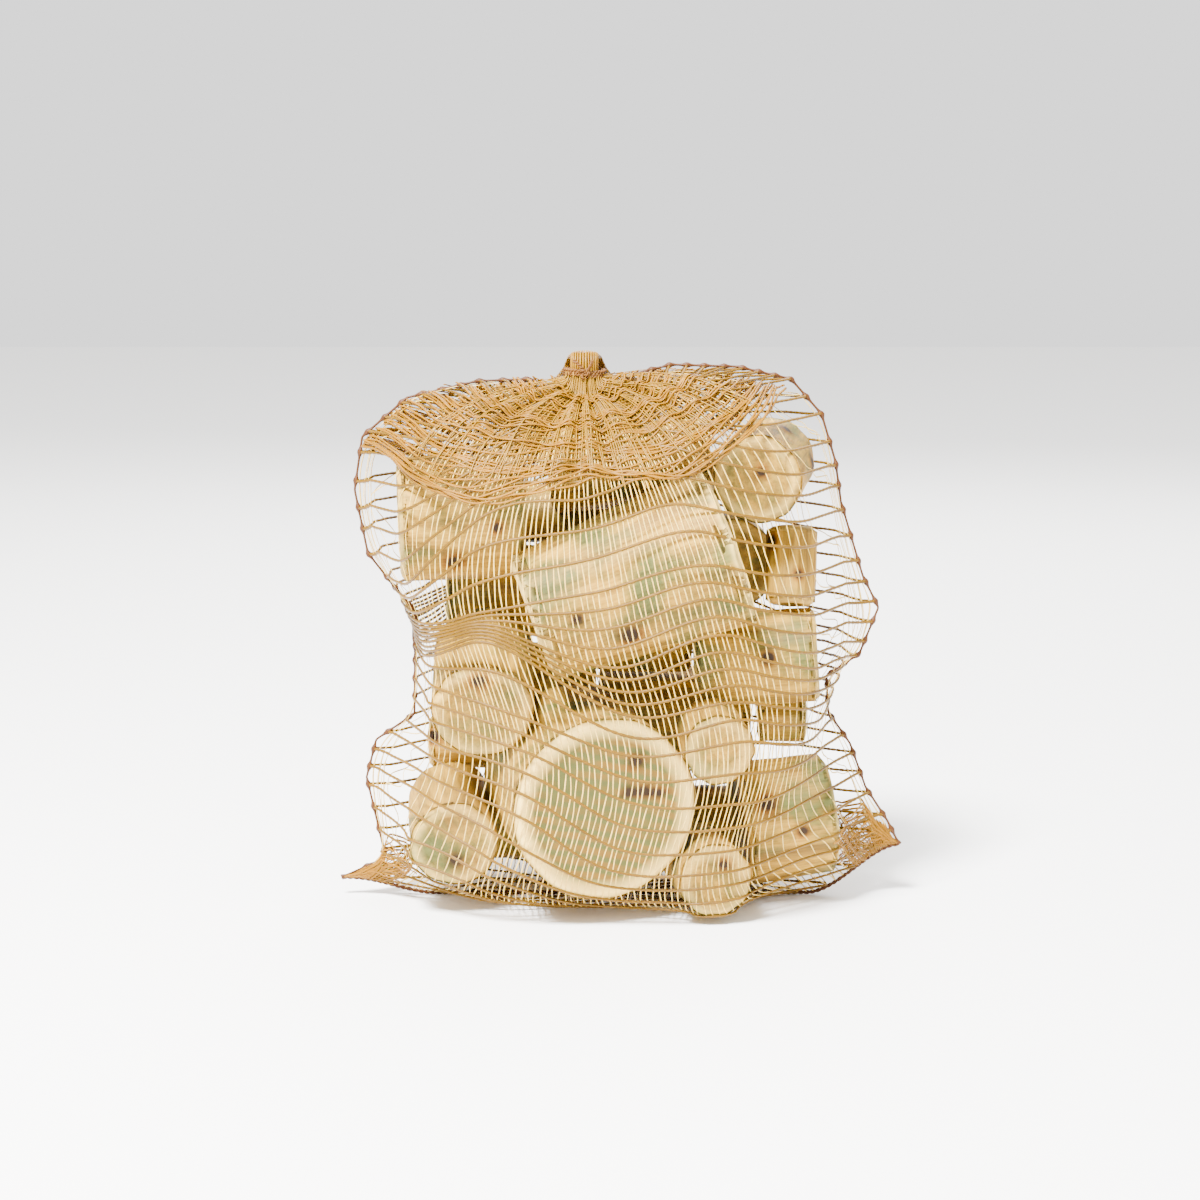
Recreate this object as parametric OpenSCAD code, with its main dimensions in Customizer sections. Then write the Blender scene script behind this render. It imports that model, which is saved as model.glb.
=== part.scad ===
// Mesh produce bag filled with short debarked logs. The flat tubular net has a seam along each
// side and along its bottom. Its top is gathered into a neck and tied, and the mouth that is
// left over is folded down behind the bag.
// X runs across the bag, +Y towards its back and +Z up. The origin is on the ground under its middle.

/* [Bag] */
// Width between the tips of the two bottom corners
bag_w = 278; // [270:1:340]
// Height from the ground to the top of the tied neck
bag_h = 256; // [250:1:320]
// Depth of the filled bag, front to back
bag_d = 150; // [148:1:190]
// Thickness of each net wall
net_t = 0.6; // [0.4:0.1:1]
// Gap between the two walls where they lie together at the sides
wall_gap = 0.6; // [0.4:0.1:2]

/* [Seams and tie] */
// Diameter of the stitched side and bottom seams
seam_d = 2.4; // [2.2:0.1:3]
// Diameter of the gathered neck
neck_d = 18; // [14:1:24]
// Diameter of the tying twine
twine_d = 1.8; // [1:0.1:2.2]
// Turns of twine round the neck
twine_turns = 3; // [2:1:3]

/* [Mouth] */
// Length of net between the neck and the hem of the mouth
tail_len = 74; // [50:1:85]
// Width of the gathered mouth at its hem
tail_w = 72; // [40:1:90]
// Thickness of the bunched net just above the neck
tail_root_t = 7; // [6:0.5:10]
// Thickness of the bunched net at its hem
tail_end_t = 5; // [3:0.5:6]
// Width of the hem band along the mouth
hem_w = 8; // [5:0.5:12]
// Thickness of the hem band
hem_t = 6; // [4:0.5:8]

/* [Logs] */
// Size of the logs, as a share of the sizes in the log table
log_size = 1; // [0.7:0.01:1.01]
// Bevel round each sawn end
log_bevel = 7; // [1:0.5:8]

/* [Hidden] */
$fn = 48;
// The shape tables below are drawn for this bag, and stretch with bag_w, bag_d and bag_h.
DRAWN_W = 278;
DRAWN_D = 150;
DRAWN_H = 256;
kx = bag_w / DRAWN_W;
ky = bag_d / DRAWN_D;
kz = bag_h / DRAWN_H;
COLUMNS = 36;
ROWS = 36;
SEAM_SIDES = 8;
SEAM_STEPS = 40;
SEAM_END = 0.95; // share of the wall's length at which a side seam runs into the neck
// How far in from each edge the wall's height takes to reach its middle height, and the most of
// the width that it may take.
edge_rise = 46 * kx;
EDGE_RISE_MOST = 0.3;
seam_lift = 0.1; // holds the bottom seam just clear of the ground

neck_x = -18;
neck_low = 0.965; // share of the wall's length at which the neck starts
neck_top = bag_h;
neck_len = 6.5;
tie_drop = 1; // from the top of the neck down to the twine
tie_bite = 0.3; // how far the twine sinks into the neck's outer line
tie_pitch = 0.9 * twine_d; // the turns press a little into each other
knot_d = 2.2 * twine_d;
knot_drop = 1.3 * twine_d;
twine_end = 9;
TWINE_END_TURNS = [-35, 30];

// Side edges from the bottom corner to the neck: share of the wall's length, X, Z, and how far
// the two walls lie flat against each other there.
LEFT_EDGE = [
    [0, -139, 9, 24], [0.07, -117, 19, 10], [0.18, -126, 60, 12], [0.24, -121, 79, 10],
    [0.3, -102, 92, 6], [0.44, -101, 142, 6], [0.54, -124, 172, 10], [0.63, -130, 203, 12],
    [0.7, -126, 229, 8], [0.78, -104, 248, 4], [0.88, -70, 256, 0], [0.94, -44, 257, 0]
];
RIGHT_EDGE = [
    [0, 138, 26, 20], [0.04, 132, 38, 10], [0.09, 121, 55, 8], [0.16, 113, 77, 8],
    [0.22, 102, 93, 6], [0.28, 101, 111, 10], [0.34, 117, 122, 12], [0.41, 126, 145, 18],
    [0.46, 118, 161, 14], [0.56, 107, 197, 10], [0.62, 104, 217, 8], [0.68, 97, 240, 4],
    [0.74, 82, 257, 0], [0.82, 56, 263, 0], [0.9, 24, 264, 0], [0.94, 8, 260, 0]
];
// Middle of each wall: share of the wall's length, distance from the middle plane, Z.
FRONT_MIDDLE = [
    [0, 0, 1.2], [0.06, 26, 0], [0.14, 52, 0], [0.2, 67, 10], [0.27, 75, 34], [0.4, 77, 80],
    [0.52, 77, 122], [0.64, 76, 164], [0.74, 71, 198], [0.82, 58, 226], [0.9, 36, 244],
    [0.94, 20, 250]
];
BACK_MIDDLE = [
    [0, 0, 1.2], [0.06, 25, 0], [0.14, 50, 0], [0.2, 63, 10], [0.27, 71, 34], [0.4, 74, 80],
    [0.52, 74, 122], [0.64, 72, 164], [0.74, 66, 198], [0.82, 53, 224], [0.9, 34, 239],
    [0.94, 20, 246]
];
// How square the filled bag's level section is: 2 is an ellipse.
SQUARENESS = [[0, 5], [0.6, 4.5], [0.8, 3], [0.94, 2], [1, 2]];

// Logs: name, centre, direction in plan, upward tilt, diameter at each end and length.
LOGS = [
    ["log_centre", [4, -33, 163], 5, 20, 49, 80, 102],
    ["log_top_middle", [4, 16, 213], 0, 6, 40, 40, 80],
    ["log_top_right", [69, -8, 214], 78, 6, 44, 42, 50],
    ["log_upper_left", [-78, -11, 191], 5, 2, 60, 61, 60],
    ["log_left_middle", [-67, -24, 113], 92, 18, 50, 48, 64],
    ["log_right_middle", [66, -6, 121], -4, 4, 46, 46, 60],
    ["log_front_round", [-17, -27, 60], 105, 4, 90, 84, 72],
    ["log_right_round", [44, -44, 88], 95, 2, 34, 34, 44],
    ["log_bottom_left", [-83, -15, 41], 95, 10, 43, 42, 58],
    ["log_bottom_middle", [41, -36, 22], 100, 0, 36, 36, 46],
    ["log_bottom_right", [80, -2, 40], 8, 6, 61, 58, 45],
    ["log_centre_rear", [54, 36, 164], 92, 0, 46, 44, 40],
    ["log_right_rear", [83, -3, 166], 80, 74, 25, 25, 38],
    ["log_back_bottom_left", [-50, 39, 28], 0, 0, 38, 36, 62],
    ["log_back_bottom_right", [40, 43, 30], 0, 0, 32, 32, 60],
    ["log_back_middle_left", [-34, 38, 98], 0, 0, 48, 46, 43],
    ["log_back_middle_right", [27, 41, 84], 0, 0, 50, 48, 76],
    ["log_back_upper_left", [-51, 34, 148], 0, 0, 46, 46, 72],
    ["log_back_top_left", [-30, 46, 186], 0, 0, 30, 30, 66],
    ["log_core_middle", [12, 22, 128], 0, 0, 38, 38, 46],
    ["log_core_left", [-76, 20, 74], 0, 0, 28, 28, 40],
    ["log_core_right", [80, 13, 87], 0, 0, 24, 24, 24],
    ["log_back_top_right", [48, 46, 203], 0, 0, 22, 22, 40]
];

FRONT = -1;
BACK = 1;

function mix(a, b, t) = a + (b - a) * t;
function ramp(t) = let(c = min(1, max(0, t))) c * c * (3 - 2 * c);
function column(table, index) = [for (row = table) [row[0], row[index]]];
function at(table, v, index) = lookup(v, column(table, index));

// One side edge at share v: X, Z and the flat width. The last stretch is the straight neck.
function edge(table, v, side) =
    v < 0.94 ? [kx * at(table, v, 1), kz * at(table, v, 2), kx * at(table, v, 3)]
    : let(t = min(1, (v - 0.94) / (neck_low - 0.94)), u = max(0, (v - neck_low) / (1 - neck_low)))
    [mix(kx * at(table, 0.94, 1), neck_x + side * neck_d / 2, t),
        mix(kz * at(table, 0.94, 2), neck_top - neck_len, t) + u * neck_len, 0];

// The middle of one wall at share v: distance from the middle plane and Z.
function middle(table, v) =
    v < 0.94 ? [ky * at(table, v, 1), kz * at(table, v, 2)]
    : let(t = min(1, (v - 0.94) / (neck_low - 0.94)), u = max(0, (v - neck_low) / (1 - neck_low)))
    [mix(ky * at(table, 0.94, 1), neck_d / 2, t),
        mix(kz * at(table, 0.94, 2), neck_top - neck_len, t) + u * neck_len];

// A point on the outside of one wall: u runs from -1 at the left edge to 1 at the right edge.
function wall_point(side, v, u) =
    let(
        left = edge(LEFT_EDGE, v, -1),
        right = edge(RIGHT_EDGE, v, 1),
        centre = middle(side == FRONT ? FRONT_MIDDLE : BACK_MIDDLE, v),
        x = mix(left[0], right[0], (u + 1) / 2),
        from_left = x - left[0] - left[2],
        from_right = right[0] - right[2] - x,
        across = (from_left - from_right) / (from_left + from_right),
        power = lookup(v, SQUARENESS),
        bulge = abs(across) < 1 ? pow(1 - pow(abs(across), power), 1 / power) : 0,
        flat = wall_gap / 2 + net_t,
        rise = min(edge_rise, EDGE_RISE_MOST * (right[0] - left[0])),
        drop = ramp(min(x - left[0], right[0] - x) / rise)
    )
    [x, side * (flat + bulge * max(0, centre[0] - flat)),
        mix(mix(left[1], right[1], (u + 1) / 2), centre[1], drop)];

function wall_normal(side, v, u) =
    let(
        du = wall_point(side, v, min(1, u + 0.01)) - wall_point(side, v, max(-1, u - 0.01)),
        dv = wall_point(side, min(1, v + 0.004), u) - wall_point(side, max(0, v - 0.004), u),
        n = cross(du, dv)
    )
    -side * n / norm(n);

// A thin wall as one closed polyhedron: its outside grid, then its inside grid.
module wall(side) {
    outside = [for (i = [0:ROWS], j = [0:COLUMNS])
        wall_point(side, i / ROWS, sin(90 * (2 * j / COLUMNS - 1)))];
    inward = [for (i = [0:ROWS], j = [0:COLUMNS])
        wall_normal(side, i / ROWS, sin(90 * (2 * j / COLUMNS - 1)))];
    inside = [for (k = [0:len(outside) - 1])
        let(p = outside[k] - net_t * inward[k])
        [p[0], side * max(wall_gap / 2, side * p[1]), p[2]]];
    wide = COLUMNS + 1;
    count = wide * (ROWS + 1);
    quads = [for (i = [0:ROWS - 1], j = [0:COLUMNS - 1])
        [i * wide + j, i * wide + j + 1, (i + 1) * wide + j + 1, (i + 1) * wide + j]];
    rim = concat(
        [for (j = [0:COLUMNS - 1]) [j, j + 1]],
        [for (i = [0:ROWS - 1]) [i * wide + COLUMNS, (i + 1) * wide + COLUMNS]],
        [for (j = [COLUMNS:-1:1]) [ROWS * wide + j, ROWS * wide + j - 1]],
        [for (i = [ROWS:-1:1]) [i * wide, (i - 1) * wide]]
    );
    faces = concat(
        [for (q = quads) [q[3], q[2], q[1], q[0]]],
        [for (q = quads) [q[0] + count, q[1] + count, q[2] + count, q[3] + count]],
        [for (e = rim) [e[0], e[1], e[1] + count, e[0] + count]]
    );
    triangles = [for (f = faces, k = [1, 2]) [f[0], f[k], f[k + 1]]];
    polyhedron(concat(outside, inside),
        side == FRONT ? triangles : [for (t = triangles) [t[2], t[1], t[0]]]);
}

// A tube of the given diameter swept along points that all lie near the XZ plane.
module tube(points, diameter) {
    last = len(points) - 1;
    rings = [for (i = [0:last])
        let(
            along = points[min(last, i + 1)] - points[max(0, i - 1)],
            out = cross(along, [0, 1, 0]),
            side = out / norm(out)
        )
        for (k = [0:SEAM_SIDES - 1])
            let(a = 360 * k / SEAM_SIDES)
            points[i] + diameter / 2 * (cos(a) * side + sin(a) * [0, 1, 0])];
    skin = [for (i = [0:last - 1], k = [0:SEAM_SIDES - 1])
        let(n = (k + 1) % SEAM_SIDES, a = i * SEAM_SIDES)
        for (t = [[a + k, a + n, a + SEAM_SIDES + n], [a + k, a + SEAM_SIDES + n, a + SEAM_SIDES + k]]) t];
    polyhedron(rings, concat(skin,
        [[for (k = [SEAM_SIDES - 1:-1:0]) k]],
        [[for (k = [0:SEAM_SIDES - 1]) last * SEAM_SIDES + k]]));
}

module net_front_panel() color("goldenrod") wall(FRONT);
module net_back_panel() color("darkgoldenrod") wall(BACK);

module side_seam(table, side)
    color("saddlebrown")
        tube([for (i = [0:SEAM_STEPS]) let(e = edge(table, SEAM_END * i / SEAM_STEPS, side)) [e[0], 0, e[1]]],
            seam_d);
module side_seam_left() side_seam(LEFT_EDGE, -1);
module side_seam_right() side_seam(RIGHT_EDGE, 1);

module bottom_seam()
    color("saddlebrown")
        tube([for (j = [0:SEAM_STEPS])
            let(p = wall_point(FRONT, 0, sin(90 * (2 * j / SEAM_STEPS - 1)))) [p[0], 0, p[2] + seam_lift]],
            seam_d);

module neck_tie()
    color("peru") {
        ring_r = neck_d / 2 + twine_d / 2 - tie_bite;
        for (i = [0:twine_turns - 1])
            translate([neck_x, 0, neck_top - tie_drop - twine_d / 2 - i * tie_pitch])
                rotate_extrude() translate([ring_r, 0]) circle(d = twine_d);
        translate([neck_x, -ring_r, neck_top - tie_drop - knot_drop]) {
            sphere(d = knot_d);
            for (turn = TWINE_END_TURNS) rotate([0, turn, 0]) cylinder(d = twine_d, h = twine_end);
        }
    }

// The mouth of the bag, bunched and folded down behind it. A station along the fold gives the
// length from the neck, Y, and Z from the top of the neck.
TAIL_LINE = [
    [0, 3, 5], [10, 12, 3], [19, 20, -4], [35, 34, -12], [54, 49, -24], [75, 62, -40], [98, 70, -61]
];
TAIL_RINGS = 12;
TAIL_SIDES = 16;
hem_overlap = 1;
hem_spread = 2; // how much wider the hem is than the net it ends
pivot_gap = 1.5; // clear height between the neck and the folded mouth

function tail_middle(s) =
    [neck_x, ky * at(TAIL_LINE, s, 1),
        s <= 0 ? neck_top + pivot_gap + tail_root_t / 2 : neck_top + kz * at(TAIL_LINE, s, 2)];
function tail_width(s) = mix(neck_d, tail_w, min(1, s / tail_len));
function tail_thickness(s) = mix(tail_root_t, tail_end_t, min(1, s / tail_len));

// A flattened tube along the fold from one length to another.
module bunch(from, to, extra_width, extra_thickness) {
    rings = [for (i = [0:TAIL_RINGS])
        let(
            s = mix(from, to, i / TAIL_RINGS),
            along = tail_middle(s + 1) - tail_middle(max(0, s - 1)),
            up = cross([1, 0, 0], along) / norm(along),
            w = tail_width(s) + extra_width,
            t = tail_thickness(s) + extra_thickness
        )
        for (k = [0:TAIL_SIDES - 1])
            let(a = 360 * k / TAIL_SIDES)
            tail_middle(s) + w / 2 * cos(a) * [1, 0, 0] + t / 2 * sin(a) * up];
    skin = [for (i = [0:TAIL_RINGS - 1], k = [0:TAIL_SIDES - 1])
        let(n = (k + 1) % TAIL_SIDES, a = i * TAIL_SIDES)
        for (t = [[a + k, a + TAIL_SIDES + n, a + n], [a + k, a + TAIL_SIDES + k, a + TAIL_SIDES + n]]) t];
    polyhedron(rings, concat(skin,
        [[for (k = [0:TAIL_SIDES - 1]) k]],
        [[for (k = [TAIL_SIDES - 1:-1:0]) TAIL_RINGS * TAIL_SIDES + k]]));
}
module mouth_tail() color("darkorange") bunch(0, tail_len, 0, 0);
module mouth_hem()
    color("saddlebrown")
        bunch(tail_len - hem_overlap, tail_len + hem_w, hem_spread, hem_t - tail_end_t);

module log_piece(entry)
    color("blanchedalmond")
        translate([kx * entry[1][0], ky * entry[1][1], kz * entry[1][2]])
            rotate([0, -entry[3], entry[2]]) rotate([0, 90, 0]) scale(log_size) debarked_log(entry);
module debarked_log(entry) {
    low = entry[4] / 2;
    high = entry[5] / 2;
    half = entry[6] / 2;
    rotate_extrude() polygon([
        [0, -half], [low - log_bevel, -half], [low, log_bevel - half],
        [high, half - log_bevel], [high - log_bevel, half], [0, half]
    ]);
}

net_front_panel();
net_back_panel();
side_seam_left();
side_seam_right();
bottom_seam();
neck_tie();
mouth_tail();
mouth_hem();
for (entry = LOGS) log_piece(entry);
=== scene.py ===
"""Mesh produce bag filled with short debarked logs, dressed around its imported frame.

The net is drawn as what it is: stitched cross threads and fine lengthwise tapes on a skin that is
pulled tight over the logs. Everything is in metres, in the frame's own axes.
"""
import math
import random

import bpy
import numpy as np
from bpy.props import FloatProperty, FloatVectorProperty, IntProperty, PointerProperty
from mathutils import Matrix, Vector, noise


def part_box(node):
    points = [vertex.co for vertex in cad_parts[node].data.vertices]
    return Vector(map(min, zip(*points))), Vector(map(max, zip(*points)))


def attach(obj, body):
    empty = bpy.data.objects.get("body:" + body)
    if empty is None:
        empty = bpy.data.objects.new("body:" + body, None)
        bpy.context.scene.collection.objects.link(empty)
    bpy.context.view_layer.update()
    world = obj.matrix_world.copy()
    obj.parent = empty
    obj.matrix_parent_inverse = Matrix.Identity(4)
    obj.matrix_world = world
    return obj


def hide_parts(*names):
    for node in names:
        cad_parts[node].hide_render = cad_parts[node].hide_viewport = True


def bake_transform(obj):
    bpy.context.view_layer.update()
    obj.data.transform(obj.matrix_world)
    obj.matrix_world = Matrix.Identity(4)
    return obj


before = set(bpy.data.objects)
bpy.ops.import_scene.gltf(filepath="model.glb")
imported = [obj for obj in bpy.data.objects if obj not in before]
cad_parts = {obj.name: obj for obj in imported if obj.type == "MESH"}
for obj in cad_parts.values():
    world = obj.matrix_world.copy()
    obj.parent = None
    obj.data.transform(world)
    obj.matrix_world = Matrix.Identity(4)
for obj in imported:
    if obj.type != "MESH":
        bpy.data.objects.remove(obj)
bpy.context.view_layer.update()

bl_info = {
    "name": "Tied mesh bag of debarked logs",
    "version": (1, 0, 0),
    "blender": (4, 5, 0),
    "location": "3D View > Sidebar > Mesh bag",
    "description": "Builds a tied net sack, its seams, tie and mouth, and the peeled logs in it",
    "category": "Add Mesh",
}

MM = 0.001
LOG_NODES = sorted(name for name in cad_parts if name.startswith("log_"))

# Side edges from the bottom corner to the neck: share of the wall's length, X, Z, and the width
# over which the two walls lie flat against each other.
LEFT_EDGE = [
    (0, -139, 9, 24), (0.07, -117, 19, 10), (0.18, -126, 60, 12), (0.24, -121, 79, 10),
    (0.3, -102, 92, 6), (0.44, -101, 142, 6), (0.54, -124, 172, 10), (0.63, -130, 203, 12),
    (0.7, -126, 229, 8), (0.78, -104, 248, 4), (0.88, -70, 256, 0), (0.94, -44, 257, 0),
    (0.965, -27, 249.5, 0), (1, -27, 256, 0),
]
RIGHT_EDGE = [
    (0, 138, 26, 20), (0.04, 132, 38, 10), (0.09, 121, 55, 8), (0.16, 113, 77, 8),
    (0.22, 102, 93, 6), (0.28, 101, 111, 10), (0.34, 117, 122, 12), (0.41, 126, 145, 18),
    (0.46, 118, 161, 14), (0.56, 107, 197, 10), (0.62, 104, 217, 8), (0.68, 97, 240, 4),
    (0.74, 82, 257, 0), (0.82, 56, 263, 0), (0.9, 24, 264, 0), (0.94, 8, 260, 0),
    (0.965, -9, 249.5, 0), (1, -9, 256, 0),
]
# Middle of each wall: share of the wall's length, distance from the middle plane, Z.
FRONT_MIDDLE = [
    (0, 0, 1.2), (0.06, 26, 0), (0.14, 52, 0), (0.2, 67, 10), (0.27, 75, 34), (0.4, 77, 80),
    (0.52, 77, 122), (0.64, 76, 164), (0.74, 71, 198), (0.82, 58, 226), (0.9, 36, 244),
    (0.94, 20, 250), (0.965, 9, 249.5), (1, 9, 256),
]
BACK_MIDDLE = [
    (0, 0, 1.2), (0.06, 25, 0), (0.14, 50, 0), (0.2, 63, 10), (0.27, 71, 34), (0.4, 74, 80),
    (0.52, 74, 122), (0.64, 72, 164), (0.74, 66, 198), (0.82, 53, 224), (0.9, 34, 239),
    (0.94, 20, 246), (0.965, 9, 249.5), (1, 9, 256),
]
SQUARENESS = [(0, 5), (0.6, 4.5), (0.8, 3), (0.94, 2), (1, 2)]
# Cross threads: the row's number, then the share of the wall's length at which it lies on the left
# edge, a quarter of the way in, in the middle, three quarters in and on the right edge. The front
# rows slide over the logs and bunch in the waist, and the back rows meet them at both edges.
ROWS = [
    (-9, -0.16, -0.02, -0.11, -0.12, -0.27), (-6, -0.04, 0.085, -0.005, -0.02, -0.18),
    (-3, 0.08, 0.18, 0.1, 0.095, -0.09), (0, 0.17, 0.26, 0.205, 0.205, 0),
    (2, 0.225, 0.335, 0.255, 0.25, 0.05), (5, 0.325, 0.425, 0.355, 0.35, 0.145),
    (7, 0.375, 0.475, 0.42, 0.435, 0.21), (8, 0.395, 0.53, 0.445, 0.465, 0.24),
    (9, 0.405, 0.57, 0.475, 0.49, 0.265), (13, 0.43, 0.59, 0.54, 0.58, 0.36),
    (17, 0.455, 0.61, 0.64, 0.675, 0.48), (18, 0.465, 0.65, 0.685, 0.72, 0.515),
    (20, 0.5, 0.745, 0.765, 0.79, 0.585), (22, 0.575, 0.8, 0.81, 0.865, 0.645),
    (23, 0.605, 0.83, 0.855, 0.885, 0.68), (25, 0.68, 0.862, 0.888, 0.905, 0.74),
    (30, 0.83, 0.91, 0.925, 0.93, 0.86), (34, 0.935, 0.945, 0.95, 0.952, 0.945),
    (35, 0.955, 0.957, 0.96, 0.96, 0.957),
]
ROW_NUMBERS = range(ROWS[0][0], ROWS[-1][0] + 1)
STATIONS = (-1, -0.5, 0, 0.5, 1)
SEAM_END = 0.955  # share of the wall's length at which the side seams stop

# Knots on the front of the logs: X, Z and radius in mm.
KNOTS = {
    "log_centre": [(4, 143, 7), (-20, 150, 4)], "log_upper_left": [(-80, 172, 6), (-60, 190, 4)],
    "log_left_middle": [(-68, 121, 6)], "log_bottom_right": [(71, 54, 6), (88, 40, 4)],
    "log_front_round": [(9, 65, 4), (3, 66, 4), (16, 65, 3), (5, 79, 5)],
    "log_bottom_middle": [(48, 30, 4)], "log_right_middle": [(70, 125, 5)],
    "log_top_right": [(66, 215, 4)], "log_top_middle": [(-10, 216, 5)],
    "log_bottom_left": [(-80, 30, 5)],
}
FRONT, BACK = -1, 1


def linear(colour):
    """An sRGB hex colour as linear red, green, blue and alpha."""
    channels = [int(colour[i:i + 2], 16) / 255 for i in (1, 3, 5)]
    return tuple(c / 12.92 if c <= 0.04045 else ((c + 0.055) / 1.055) ** 2.4 for c in channels) + (1.0,)


def colour_property(name, description, colour):
    return FloatVectorProperty(
        name=name, description=description, subtype="COLOR", size=4, min=0, max=1,
        default=linear(colour),
    )


def length_property(name, description, metres):
    return FloatProperty(name=name, description=description, default=metres, unit="LENGTH")


class NetSettings(bpy.types.PropertyGroup):
    """Sizes and colours of the net."""
    tape_count: IntProperty(
        name="Tapes", description="Lengthwise tapes across each wall", default=76, min=20, max=120
    )
    thread_d: length_property("Cross thread", "Diameter of a cross thread", 0.0014)
    tape_w: length_property("Tape width", "Width of a lengthwise tape", 0.0006)
    tape_t: length_property("Tape thickness", "Thickness of a lengthwise tape", 0.0003)
    clearance: length_property("Clearance", "Gap between the net's skin and the wood", 0.0016)
    thread: colour_property("Thread", "Colour of the cross threads", "#6A4A00")
    tape: colour_property("Tape", "Colour of the lengthwise tapes", "#E4BE60")
    fold: colour_property("Fold", "Colour of the threads where the net lies in folds", "#8C5E00")
    ear: colour_property("Ear", "Colour of the tapes where the net lies in folds", "#946C12")
    seam: colour_property("Seam", "Colour of the stitched seams", "#4E2A0A")
    twine: colour_property("Twine", "Colour of the tying twine", "#6A4214")


class LogSettings(bpy.types.PropertyGroup):
    """Shape and colours of the peeled logs."""
    unevenness: length_property("Unevenness", "How far the surface strays from round", 0.0012)
    knot_size: length_property("Knot size", "Radius of a common knot", 0.006)
    wood: colour_property("Wood", "Clean sapwood", "#BE922C")
    streak: colour_property("Streak", "Darker streaks along the grain", "#7C5C1C")
    # Greenish-grey tone: painted shade on the sawn ends, and random patches on the sides.
    greenish_patches_and_shade: colour_property("Stain", "Greenish weathering", "#585A2A")
    # Painted highlight along the bevelled rim of each sawn end.
    rim: colour_property("Rim", "Pale sapwood rim of a sawn end", "#F0CC70")
    knot: colour_property("Knot", "Heart of a knot", "#2A1B0C")


class StageSettings(bpy.types.PropertyGroup):
    """Camera and light."""
    lens: FloatProperty(name="Lens", description="Focal length of the camera in mm", default=85)
    elevation: FloatProperty(
        name="Elevation", description="Height of the view above level", default=math.radians(9), subtype="ANGLE"
    )
    view_width: length_property("View width", "Width of the view at the bag", 0.571)
    sky: FloatProperty(name="Sky", description="Strength of the light from all round", default=1.65)
    floor: colour_property("Floor", "Colour of the floor", "#FBFAF8")


# ---------------------------------------------------------------------------------------------
# Materials


def add_node(tree, kind, settings=None, links=None):
    """Adds a node, sets its properties and inputs, and links inputs to other nodes' outputs."""
    node = tree.nodes.new(kind)
    for key, value in (settings or {}).items():
        if isinstance(key, int) or key in node.inputs:
            node.inputs[key].default_value = value
        else:
            setattr(node, key, value)
    for key, source in (links or {}).items():
        tree.links.new(source, node.inputs[key])
    return node


def new_material(name, roughness, ior=1.5, **principled):
    """A Principled material with its uniform values on the shader's own sockets."""
    material = bpy.data.materials.new(name)
    material.use_nodes = True
    shader = material.node_tree.nodes["Principled BSDF"]
    shader.inputs["Roughness"].default_value = roughness
    shader.inputs["IOR"].default_value = ior
    for socket, value in principled.items():
        shader.inputs[socket].default_value = value
    return material, material.node_tree, shader


def ramp(tree, factor, stops):
    """A colour ramp with (position, colour) stops."""
    node = add_node(tree, "ShaderNodeValToRGB", links={"Fac": factor})
    elements = node.color_ramp.elements
    while len(elements) < len(stops):
        elements.new(0.5)
    for element, (position, colour) in zip(elements, stops):
        element.position = position
        element.color = colour
    return node


def mix_colour(tree, factor, first, second, blend="MIX"):
    """Mixes two colours; each argument is a value or a socket."""
    node = add_node(tree, "ShaderNodeMix", {"data_type": "RGBA", "blend_type": blend})
    for index, value in ((0, factor), (6, first), (7, second)):
        if isinstance(value, bpy.types.NodeSocket):
            tree.links.new(value, node.inputs[index])
        else:
            node.inputs[index].default_value = value
    return node.outputs[2]


def darker(colour, share):
    return tuple(c * share for c in colour[:3]) + (1.0,)


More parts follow.
